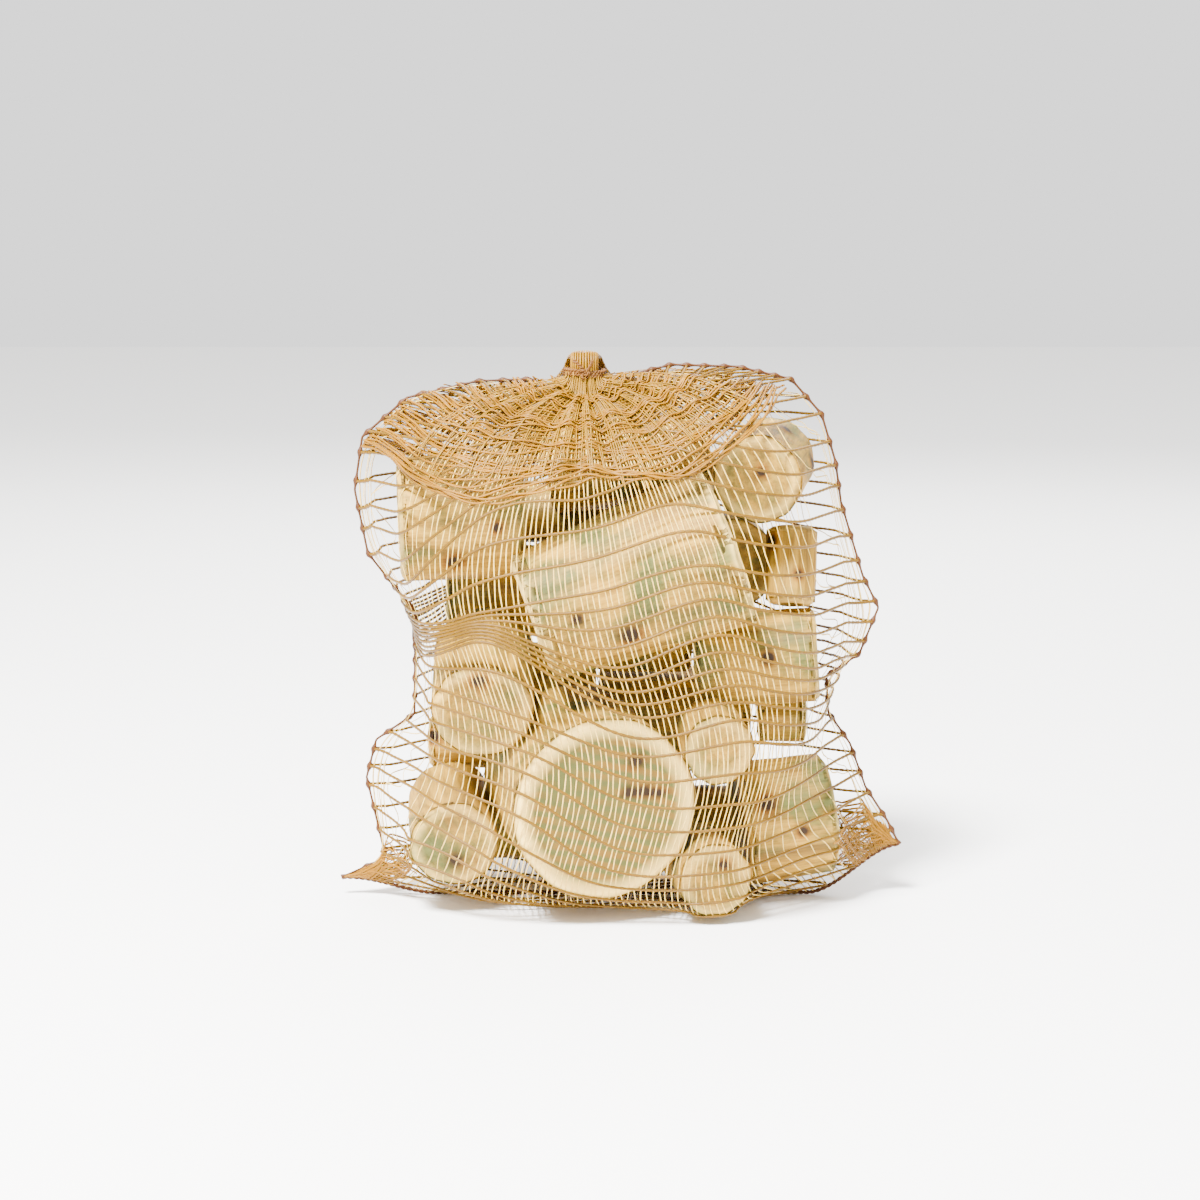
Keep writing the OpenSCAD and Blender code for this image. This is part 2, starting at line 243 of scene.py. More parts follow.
def peeled_wood(settings):
    """Debarked softwood, dried and unfinished: matte, streaked along the grain, with a dull sheen."""
    material, tree, shader = new_material("Peeled softwood, raw", 0.62, 1.5)
    shader.inputs["Specular IOR Level"].default_value = 0.22
    shader.inputs["Subsurface Weight"].default_value = 0.04
    shader.inputs["Subsurface Radius"].default_value = (0.004, 0.002, 0.001)
    place, knot, sawn, rim = (
        add_node(tree, "ShaderNodeAttribute", {"attribute_name": name}).outputs[output]
        for name, output in (("log_space", "Vector"), ("knot", "Fac"), ("sawn", "Fac"), ("rim", "Fac"))
    )
    # Grain lines about 1.5 mm apart round the log and ten times as long.
    along = add_node(tree, "ShaderNodeMapping", {"Scale": (1, 1, 0.1)}, {"Vector": place}).outputs[0]
    grain = add_node(tree, "ShaderNodeTexNoise", {"Scale": 620, "Detail": 4, "Roughness": 0.6}, {"Vector": along})
    # Broad streaks about 9 mm wide.
    streak = add_node(tree, "ShaderNodeTexNoise", {"Scale": 110, "Detail": 3, "Distortion": 0.6}, {"Vector": along})
    # Greenish-grey patches about 30 mm across, placed at random.
    patch = add_node(tree, "ShaderNodeTexNoise", {"Scale": 34, "Detail": 5, "Roughness": 0.62}, {"Vector": place})
    side = ramp(tree, streak.outputs["Fac"], [(0.36, settings.wood), (0.66, settings.streak)]).outputs[0]
    patches = ramp(tree, patch.outputs["Fac"], [(0.46, (0, 0, 0, 1)), (0.64, (1, 1, 1, 1))]).outputs[0]
    side = mix_colour(tree, patches, side, settings.greenish_patches_and_shade)
    lines = ramp(tree, grain.outputs["Fac"], [(0.32, (0.5, 0.42, 0.28, 1)), (0.56, (1.1, 1.1, 1.1, 1))]).outputs[0]
    side = mix_colour(tree, 0.7, side, lines, "MULTIPLY")
    # Growth rings 3 mm apart on the sawn ends.
    rings = add_node(
        tree, "ShaderNodeTexWave",
        {
            "wave_type": "RINGS", "rings_direction": "Z", "Scale": 52, "Distortion": 1.6,
            "Detail": 2, "Detail Scale": 1.2,
        },
        {"Vector": place},
    )
    # The sawn ends are painted shade: darker and greener than the sides, with the growth rings in it.
    end = ramp(tree, rings.outputs["Fac"], [(0.1, settings.greenish_patches_and_shade), (0.8, settings.streak)]).outputs[0]
    end = mix_colour(tree, patches, end, settings.greenish_patches_and_shade)
    # Painted highlight: a pale band on the bevelled rim of each sawn end.
    end = mix_colour(tree, rim, end, settings.rim)
    colour = mix_colour(tree, sawn, side, end)
    halo = ramp(tree, knot, [(0.05, (1, 1, 1, 1)), (0.45, (0.62, 0.45, 0.25, 1))]).outputs[0]
    colour = mix_colour(tree, 1.0, colour, halo, "MULTIPLY")
    heart = ramp(tree, knot, [(0.45, (0, 0, 0, 1)), (0.75, (1, 1, 1, 1))]).outputs[0]
    colour = mix_colour(tree, heart, colour, settings.knot)
    tree.links.new(colour, shader.inputs["Base Color"])
    relief = mix_colour(tree, sawn, grain.outputs["Color"], rings.outputs["Color"])
    bump = add_node(tree, "ShaderNodeBump", {"Strength": 0.35, "Distance": 0.0006}, {"Height": relief})
    tree.links.new(bump.outputs[0], shader.inputs["Normal"])
    return material


def net_yarn(name, colour, roughness, spread=0.75, thread_mm=0.5):
    """Stretched polyethylene yarn: satin, a little translucent, with fine random light and dark flecks."""
    material, tree, shader = new_material(name, roughness, 1.51)
    shader.inputs["Specular IOR Level"].default_value = 0.2
    shader.inputs["Subsurface Weight"].default_value = 0.25
    shader.inputs["Subsurface Radius"].default_value = (0.002, 0.0012, 0.0006)
    place = add_node(tree, "ShaderNodeTexCoord").outputs["Object"]
    slow = add_node(tree, "ShaderNodeTexNoise", {"Scale": 45, "Detail": 3}, {"Vector": place})
    fast = add_node(tree, "ShaderNodeTexNoise", {"Scale": 1000 / thread_mm, "Detail": 2}, {"Vector": place})
    shade = ramp(tree, slow.outputs["Fac"], [(0.32, darker(colour, spread)), (0.62, colour)]).outputs[0]
    fleck = ramp(tree, fast.outputs["Fac"], [(0.35, (0.8, 0.8, 0.8, 1)), (0.65, (1.12, 1.12, 1.12, 1))]).outputs[0]
    tree.links.new(mix_colour(tree, 1.0, shade, fleck, "MULTIPLY"), shader.inputs["Base Color"])
    bump = add_node(tree, "ShaderNodeBump", {"Strength": 0.4, "Distance": 0.0002}, {"Height": fast.outputs["Fac"]})
    tree.links.new(bump.outputs[0], shader.inputs["Normal"])
    return material


# ---------------------------------------------------------------------------------------------
# Meshes from strands


class StrandMesh:
    """Collects closed strands and turns them into one object."""

    def __init__(self):
        self.points, self.faces, self.slots, self.caps, self.count = [], [], [], [], 0

    def add(self, points, faces, slot):
        self.points.append(points)
        self.faces.append(faces + self.count)
        self.slots.append(np.full(len(faces), slot))
        self.count += len(points)

    def strand(self, line, normals, wide, thick, sides=6, slot=0):
        """A closed strand along line: thick across the skin and wide in it."""
        n = len(line)
        tangents = np.gradient(line, axis=0)
        tangents /= np.linalg.norm(tangents, axis=1, keepdims=True) + 1e-12
        across = np.cross(tangents, normals)
        across /= np.linalg.norm(across, axis=1, keepdims=True) + 1e-12
        out = np.cross(across, tangents)
        angle = np.arange(sides) * 2 * math.pi / sides
        wide, thick = np.broadcast_to(wide, n), np.broadcast_to(thick, n)
        ring = (
            out[:, None] * (np.cos(angle)[None, :, None] * thick[:, None, None] / 2)
            + across[:, None] * (np.sin(angle)[None, :, None] * wide[:, None, None] / 2)
        )
        points = (line[:, None] + ring).reshape(-1, 3)
        a = np.arange(n - 1)[:, None] * sides + np.arange(sides)[None]
        b = np.arange(n - 1)[:, None] * sides + (np.arange(sides)[None] + 1) % sides
        quads = np.stack([a, b, b + sides, a + sides], -1).reshape(-1, 4)
        self.add(points, quads, slot)
        first = self.count - len(points)
        self.caps.append((first + np.arange(sides)[::-1], slot))
        self.caps.append((first + (n - 1) * sides + np.arange(sides), slot))

    def build(self, name, materials):
        mesh = bpy.data.meshes.new(name)
        quads = np.concatenate(self.faces)
        faces = quads.tolist() + [c.tolist() for c, _ in self.caps]
        mesh.from_pydata(np.concatenate(self.points).tolist(), [], faces)
        slots = np.concatenate(self.slots + [np.array([s for _, s in self.caps])])
        for material in materials:
            mesh.materials.append(material)
        mesh.polygons.foreach_set("material_index", slots.astype(np.int32))
        mesh.polygons.foreach_set("use_smooth", np.ones(len(faces), bool))
        mesh.update()
        thing = bpy.data.objects.new(name, mesh)
        bpy.context.scene.collection.objects.link(thing)
        return thing


def smooth(t):
    t = np.clip(t, 0, 1)
    return t * t * (3 - 2 * t)


def table_at(table, index, v):
    return np.interp(v, [row[0] for row in table], [row[index] for row in table])


def across(values, u):
    """A smooth curve in u through one value at each station."""
    u = np.asarray(u, float)
    slopes = np.gradient(values, STATIONS) * (0, 1, 1, 1, 0)
    i = np.clip(np.searchsorted(STATIONS, u, side="right") - 1, 0, len(STATIONS) - 2)
    x = np.asarray(STATIONS)
    h = x[i + 1] - x[i]
    t = (u - x[i]) / h
    v = np.asarray(values)
    return (
        (2 * t**3 - 3 * t**2 + 1) * v[i] + (t**3 - 2 * t**2 + t) * h * slopes[i]
        + (3 * t**2 - 2 * t**3) * v[i + 1] + (t**3 - t**2) * h * slopes[i + 1]
    )


# ---------------------------------------------------------------------------------------------
# The logs' true shapes, read from the frame


class LogShape:
    """Axis, ends and radii of one log, measured on its node."""

    def __init__(self, name):
        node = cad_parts[name]
        mesh = node.data
        points = np.empty(len(mesh.vertices) * 3)
        mesh.vertices.foreach_get("co", points)
        place = np.array(node.matrix_world)
        points = points.reshape(-1, 3) @ place[:3, :3].T + place[:3, 3]
        totals = {}
        for polygon in mesh.polygons:
            key = tuple(round(c, 2) + 0.0 for c in (node.matrix_world.to_3x3() @ polygon.normal))
            totals[key] = totals.get(key, 0) + polygon.area
        rough = np.array(max(totals, key=totals.get))
        rough /= np.linalg.norm(rough)
        if rough[int(np.argmax(abs(rough)))] < 0:
            rough = -rough
        axis = self.end_to_end(points, points @ rough)
        along = points @ axis
        low, high = along.min(), along.max()
        middle = points[(along < low + 1e-5) | (along > high - 1e-5)].mean(axis=0)
        centre = middle + ((low + high) / 2 - middle @ axis) * axis
        radius = np.linalg.norm(points - centre - np.outer((points - centre) @ axis, axis), axis=1)
        lower = along < (low + high) / 2
        self.name, self.axis, self.centre, self.length = name, axis, centre, high - low
        self.low, self.high = radius[lower].max(), radius[~lower].max()
        self.bevel = self.low - radius[along < low + 1e-5].max()

    def end_to_end(self, points, along):
        """The direction between the centres of the two flat ends."""
        ends = []
        for end in (along.min(), along.max()):
            cap = points[abs(along - end) < 0.0006]
            ends.append((cap.max(axis=0) + cap.min(axis=0)) / 2)
        line = ends[1] - ends[0]
        return line / np.linalg.norm(line)

    def push_out(self, points, clearance):
        """Moves points that are nearer to the log than clearance straight out of it."""
        away = points - self.centre
        along = away @ self.axis
        radial = away - along[:, None] * self.axis
        radius = np.linalg.norm(radial, axis=1) + 1e-9
        half = self.length / 2
        share = np.clip(along / self.length + 0.5, 0, 1)
        b = self.bevel
        side = radius - (self.low + (self.high - self.low) * share) + b
        end = abs(along) - half + b
        outside = np.hypot(np.maximum(side, 0), np.maximum(end, 0))
        distance = outside + np.minimum(np.maximum(side, end), 0) - b
        corner = (side > 0) & (end > 0)
        s = np.where(corner, side / (outside + 1e-9), side > end)
        e = np.where(corner, end / (outside + 1e-9), side <= end)
        direction = s[:, None] * radial / radius[:, None] + (e * np.sign(along))[:, None] * self.axis
        return points + np.maximum(clearance - distance, 0)[:, None] * direction


# ---------------------------------------------------------------------------------------------
# The net's skin

NECK_X, NECK_R, NECK_LEN = -0.018, 0.0085, 0.0065
NECK_FROM, NECK_LOW = 0.94, 0.965  # shares of the wall's length where it turns in and where the neck starts
EDGE_RISE = 0.046  # width over which a wall drops from its edge to its middle
PLEAT_DEPTH = 0.0019
SKIN_ROWS, SKIN_COLUMNS = 150, 120
CLIMB = 0.05  # keeps a wall's height rising along the flat stretch under the bag
UNDER_SLOPE = 0.35  # height lost per share of length for a thread that would lie past the seam
FLOOR_GAP = 0.0009
WALL_GAP = 0.0007
STITCH_LEN = 0.004  # length of one stitch of a cross thread
TWINE_LAY, PLY_D = 0.0036, 0.00095  # length of one turn of the twine's plies, and a ply's thickness
FOLD_ROWS, FOLD_TAPES = 78, 150  # threads and tapes in the gathers below the tie
CORNER_ROWS, CORNER_TAPES = 12, 30  # threads and tapes in each bottom corner


def wall_grid(side):
    """The wall's drawn shape in the frame, as points on a grid from seam to neck."""
    neck_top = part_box("net_front_panel")[1][2]
    v = np.linspace(0, 1, SKIN_ROWS + 1)[:, None]
    u = np.sin(np.linspace(-1, 1, SKIN_COLUMNS + 1) * math.pi / 2)[None]

    def edge(table, way):
        t = np.clip((v - NECK_FROM) / (NECK_LOW - NECK_FROM), 0, 1)
        up = np.clip((v - NECK_LOW) / (1 - NECK_LOW), 0, 1) * NECK_LEN
        x, z = (table_at(table, column, np.minimum(v, NECK_FROM)) * MM for column in (1, 2))
        return x + (NECK_X + way * NECK_R - x) * t, z + (neck_top - NECK_LEN - z) * t + up

    middle = FRONT_MIDDLE if side == FRONT else BACK_MIDDLE
    left_x, left_z = edge(LEFT_EDGE, -1)
    right_x, right_z = edge(RIGHT_EDGE, 1)
    depth, height = table_at(middle, 1, v) * MM, table_at(middle, 2, v) * MM
    depth = np.where(v > NECK_LOW, NECK_R, depth)
    up = (v - NECK_LOW) / (1 - NECK_LOW) * NECK_LEN
    height = np.where(v > NECK_LOW, neck_top - NECK_LEN + up, height)
    x = left_x + (right_x - left_x) * (u + 1) / 2
    from_left = x - left_x - table_at(LEFT_EDGE, 3, v) * MM
    from_right = right_x - table_at(RIGHT_EDGE, 3, v) * MM - x
    share = (from_left - from_right) / (from_left + from_right)
    power = table_at(SQUARENESS, 1, v)
    bulge = np.where(abs(share) < 1, (1 - np.clip(abs(share), 0, 1) ** power) ** (1 / power), 0)
    rise = np.minimum(EDGE_RISE, 0.3 * (right_x - left_x))
    drop = smooth(np.minimum(x - left_x, right_x - x) / rise)
    edge_z = left_z + (right_z - left_z) * (u + 1) / 2
    y = side * (WALL_GAP + bulge * np.maximum(0, depth - WALL_GAP))
    return np.stack([x, y, edge_z + (height - edge_z) * drop], -1)


def pull_tight(skin, side, logs, clearance, rounds):
    """Pulls the skin straight between its edges and over the logs, as a net under tension."""
    across_len = np.linalg.norm(np.diff(skin, axis=1), axis=2)
    along_len = np.linalg.norm(np.diff(skin, axis=0), axis=2)
    inner = slice(1, -1)
    last = int(NECK_LOW * SKIN_ROWS)
    weights = [
        1 / (across_len[1:last, :-1] + 1e-4), 1 / (across_len[1:last, 1:] + 1e-4),
        1 / (along_len[:last - 1, inner] + 1e-4), 1 / (along_len[1:last, inner] + 1e-4),
    ]
    total = sum(weights)
    for _ in range(rounds):
        mean = (
            weights[0][..., None] * skin[1:last, :-2] + weights[1][..., None] * skin[1:last, 2:]
            + weights[2][..., None] * skin[:last - 1, inner]
            + weights[3][..., None] * skin[2:last + 1, inner]
        ) / total[..., None]
        moved = skin[1:last, inner] + 0.9 * (mean - skin[1:last, inner])
        flat = moved.reshape(-1, 3)
        for log in logs:
            flat = log.push_out(flat, clearance)
        flat[:, 1] = side * np.maximum(side * flat[:, 1], WALL_GAP)
        flat[:, 2] = np.maximum(flat[:, 2], FLOOR_GAP)
        skin[1:last, inner] = flat.reshape(moved.shape)
    return skin


class Skin:
    """One wall of the net, to be sampled at any share v and place u."""

    def __init__(self, side, logs, settings):
        self.side = side
        grid = wall_grid(side)
        self.shares = np.linspace(0, 1, SKIN_ROWS + 1)
        self.drawn = grid[..., 2] + CLIMB * self.shares[:, None]
        grid = pull_tight(grid, side, logs, settings.clearance, 260)
        self.pulled = grid[..., 2] + CLIMB * self.shares[:, None]
        normals = np.cross(np.gradient(grid, axis=1), np.gradient(grid, axis=0))
        normals *= side * np.sign(normals[..., 1].mean())
        normals /= np.linalg.norm(normals, axis=2, keepdims=True) + 1e-12
        v = np.linspace(0, 1, SKIN_ROWS + 1)[:, None]
        angle = np.linspace(-1, 1, SKIN_COLUMNS + 1)[None]
        pleat = smooth((v - 0.72) / 0.16) * smooth((1 - v) / 0.09) * (1 - abs(angle) ** 6)
        wave = np.sin(angle * 34 + 1.4 * np.sin(angle * 11)) * PLEAT_DEPTH
        grid = grid + (pleat * wave)[..., None] * normals
        self.grid, self.normals = grid, normals

    def column(self, heights, u):
        """How high a wall climbs at one place u, from the bottom to the neck."""
        j = (math.asin(u) / math.pi * 2 + 1) / 2 * SKIN_COLUMNS
        j0 = min(int(j), SKIN_COLUMNS - 1)
        climb = heights[:, j0] + (j - j0) * (heights[:, j0 + 1] - heights[:, j0])
        return np.maximum.accumulate(climb) + 1e-7 * np.arange(len(climb))

    def row_share(self, row, u):
        """The share of the wall's length at which a cross thread lies: level between its stations."""
        values = [table_at(ROWS, column, row) for column in range(1, 6)]
        heights = []
        for station, value in zip(STATIONS, values):
            climb = self.column(self.drawn, station)
            heights.append(np.interp(value, self.shares, climb) + UNDER_SLOPE * min(value, 0))
        wanted = across(heights, u)
        level = np.array([
            np.interp(height, self.column(self.pulled, place), self.shares, left=-1)
            for height, place in zip(wanted, u)
        ])
        direct = across(values, u)
        near_neck = smooth((direct - 0.8) / 0.07)
        return np.where(near_neck > 0, level + (direct - level) * near_neck, level)

    def at(self, v, u):
        """Points and outward normals."""
        i = np.clip(np.asarray(v) * SKIN_ROWS, 0, SKIN_ROWS - 1e-6)
        j = (np.arcsin(np.clip(u, -1, 1)) / math.pi * 2 + 1) / 2 * SKIN_COLUMNS
        j = np.clip(j, 0, SKIN_COLUMNS - 1e-6)
        i, j = np.broadcast_arrays(i, j)
        i0, j0 = i.astype(int), j.astype(int)
        a, b = (i - i0)[:, None], (j - j0)[:, None]
        found = []
        for field in (self.grid, self.normals):
            found.append(
                (1 - a) * ((1 - b) * field[i0, j0] + b * field[i0, j0 + 1])
                + a * ((1 - b) * field[i0 + 1, j0] + b * field[i0 + 1, j0 + 1])
            )
        found[1] /= np.linalg.norm(found[1], axis=1, keepdims=True) + 1e-12
        return found


def respaced(line, normals, step):
    """The same line with points a step apart."""
    lengths = np.concatenate([[0], np.cumsum(np.linalg.norm(np.diff(line, axis=0), axis=1))])
    count = max(3, int(lengths[-1] / step) + 1)
    at = np.linspace(0, lengths[-1], count)
    pick = lambda field: np.stack([np.interp(at, lengths, field[:, k]) for k in range(3)], 1)
    return pick(line), pick(normals), at


def net_wall(name, skin, settings, materials):
    """One wall of the net: cross threads with a stitch bump at each tape, and the tapes."""
    strands = StrandMesh()
    fine = np.linspace(-1, 1, 420)
    for row in ROW_NUMBERS:
        v = skin.row_share(row, fine)
        inside = (v > 0.004) & (v < 0.962)
        for run in np.split(np.arange(len(fine)), np.flatnonzero(np.diff(inside.astype(int))) + 1):
            if len(run) < 6 or not inside[run[0]]:
                continue
            line, normals, at = respaced(*skin.at(v[run], fine[run]), 0.00132)
            thick = settings.thread_d * (0.82 + 0.36 * np.abs(np.sin(at / STITCH_LEN * math.pi)) ** 0.7)
            line[:, 2] += 0.00025 * np.sin(at / 0.031 + row) + 0.00012 * np.sin(at / 0.007 + 2 * row)
            strands.strand(line, normals, thick, thick * 0.8, 5, 0)
    for k in range(settings.tape_count):
        u = -1 + 2 * (k + 0.5) / settings.tape_count
        v = np.linspace(0.003, 0.9, 280)
        place = u + 0.002 * np.sin(v * 37 + k * 1.7) + 0.0025 * np.sin(v * 83 + k * 2.9)
        line, normals, at = respaced(*skin.at(v, np.clip(place, -0.997, 0.997)), 0.0025)
        line = line - normals * settings.thread_d * 0.3
        wide = settings.tape_w * (0.85 + 0.3 * np.sin(at / 0.009 + k) ** 2)
        strands.strand(line, normals, wide, settings.tape_t, 4, 1)
    wall = strands.build(name, materials)
    return wall


# ---------------------------------------------------------------------------------------------
# Operators


class MESHBAG_OT_logs(bpy.types.Operator):
    """Adds every debarked log with its knots, tool marks and sawn ends"""
    bl_idname = "meshbag.add_logs"
    bl_label = "Add logs"

    def execute(self, context):
        settings = context.scene.meshbag_logs
        wood = peeled_wood(settings)
        for number, name in enumerate(LOG_NODES):
            shape = LogShape(name)
            log = self.blank(shape)
            self.carve(log, shape, number, settings)
            log.name = "wood_" + name
            log.data.materials.append(wood)
            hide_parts(name)
            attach(log, "bag")
        return {"FINISHED"}

    def blank(self, shape):
        """A turned blank: a cylinder with bevelled rims, ringed ends and rows along its side."""
        bpy.ops.object.select_all(action="DESELECT")
        bpy.ops.mesh.primitive_cylinder_add(
            vertices=84, radius=(shape.low + shape.high) / 2, depth=shape.length, end_fill_type="NGON"
        )
        log = bpy.context.object
        bpy.ops.object.mode_set(mode="EDIT")
        bpy.ops.mesh.select_mode(type="EDGE")
        self.choose(log, lambda e: abs(e[0].z - e[1].z) > shape.length / 2)
        bpy.ops.mesh.subdivide(number_cuts=max(24, int(shape.length / 0.0016)))
        half = shape.length / 2 - 1e-5
        self.choose(log, lambda e: abs(e[0].z) > half and abs(e[1].z) > half)
        bpy.ops.mesh.bevel(offset=shape.bevel * 0.55, segments=4, profile=0.5)
        bpy.ops.mesh.select_mode(type="FACE")
        for _ in range(5):
            bpy.ops.object.mode_set(mode="OBJECT")
            for polygon in log.data.polygons:
                polygon.select = len(polygon.vertices) > 8
            bpy.ops.object.mode_set(mode="EDIT")
            bpy.ops.mesh.inset(thickness=min(shape.low, shape.high) / 6.5, use_individual=True)
        bpy.ops.object.mode_set(mode="OBJECT")
        return log

    def choose(self, log, wanted):
        bpy.ops.mesh.select_all(action="DESELECT")
        bpy.ops.object.mode_set(mode="OBJECT")
        points = log.data.vertices
        for edge in log.data.edges:
            edge.select = wanted([points[i].co for i in edge.vertices])
        bpy.ops.object.mode_set(mode="EDIT")

    def carve(self, log, shape, number, settings):
        """Tapers the blank, gives it its tool marks and knots, and lays it in its place."""
        mesh = log.data
        rng = random.Random(number * 7 + 3)
        count = len(mesh.vertices)
        points = np.empty(count * 3)
        mesh.vertices.foreach_get("co", points)
        points = points.reshape(-1, 3)
        half = shape.length / 2
        angle = np.arctan2(points[:, 1], points[:, 0])
        radius = np.hypot(points[:, 0], points[:, 1])
        share = points[:, 2] / shape.length + 0.5
        wanted = shape.low + (shape.high - shape.low) * share
        reach = radius / ((shape.low + shape.high) / 2)
        facets = rng.randint(7, 12)  # flats left by the peeling blade
        shift = np.array([rng.uniform(-40, 40) for _ in range(3)])
        swell = np.array([noise.fractal(Vector(p * (26, 26, 14) + shift), 0.9, 2.1, 3) for p in points])
        fine = np.array([noise.noise(Vector(p * (160, 160, 50) + shift)) for p in points])
        blade = np.abs(np.sin(angle * facets / 2 + 0.8 * np.sin(points[:, 2] * 60 + number)))
        rough = settings.unevenness
        radius = reach * (wanted - 0.2 * rough + rough * (0.8 * swell + 0.25 * fine - 0.45 * blade ** 3))
        points[:, 0], points[:, 1] = radius * np.cos(angle), radius * np.sin(angle)
        sawn = smooth((abs(points[:, 2]) - half + shape.bevel * 0.5) / (shape.bevel * 0.5))
        # The ring round the edge of each sawn end: the face is dished inside it, and the wood shader paints a
        # highlight on it.
        rim = smooth((radius - wanted + shape.bevel * 0.55 + 0.0034) / 0.0012) * sawn
        points[:, 2] += (0.0004 * fine + 0.0014 * (1 - rim)) * sawn * -np.sign(points[:, 2])
        local = points.copy()
        turn = Vector((0, 0, 1)).rotation_difference(Vector(shape.axis)).to_matrix()
        points = points @ np.array(turn).T + shape.centre
        outward = points - shape.centre
        outward /= np.linalg.norm(outward, axis=1, keepdims=True) + 1e-12
        knot = np.zeros(count)
        marks = [(x * MM, z * MM, r * MM) for x, z, r in KNOTS.get(shape.name, [])]
        for x, z, r in marks:
            facing = np.where(outward[:, 1] < 0, 0, 1)
            near = int(np.argmin(np.hypot(points[:, 0] - x, points[:, 2] - z) + facing))
            self.add_knot(points, outward, knot, points[near].copy(), r)
        for _ in range(rng.randint(1, 3)):
            near = rng.randrange(count)
            if sawn[near] < 0.1 and not (marks and outward[near, 1] < 0):
                size = settings.knot_size * rng.uniform(0.5, 1)
                self.add_knot(points, outward, knot, points[near].copy(), size)
        mesh.vertices.foreach_set("co", points.ravel())
        self.store(mesh, "log_space", "FLOAT_VECTOR", "vector", local + shift * 0.01)
        self.store(mesh, "knot", "FLOAT", "value", knot)
        # Only thick logs get the whole ringed end colour with its painted shade; thin ones keep more of the pale
        # wood.
        shown = min(1, max(0.3, (max(shape.low, shape.high) - 0.028) / 0.01))
        self.store(mesh, "sawn", "FLOAT", "value", sawn * shown)
        self.store(mesh, "rim", "FLOAT", "value", rim)
        mesh.shade_smooth()
        mesh.update()

    def add_knot(self, points, outward, knot, centre, size):
        gap = np.linalg.norm(points - centre, axis=1) / size
        points += (0.0011 * np.exp(-gap ** 2) - 0.0006 * np.exp(-(gap * 2.4) ** 2))[:, None] * outward
        np.maximum(knot, np.exp(-(gap * 1.15) ** 2), out=knot)

    def store(self, mesh, name, kind, key, values):
        attribute = mesh.attributes.new(name, kind, "POINT")
        attribute.data.foreach_set(key, np.asarray(values, np.float32).ravel())


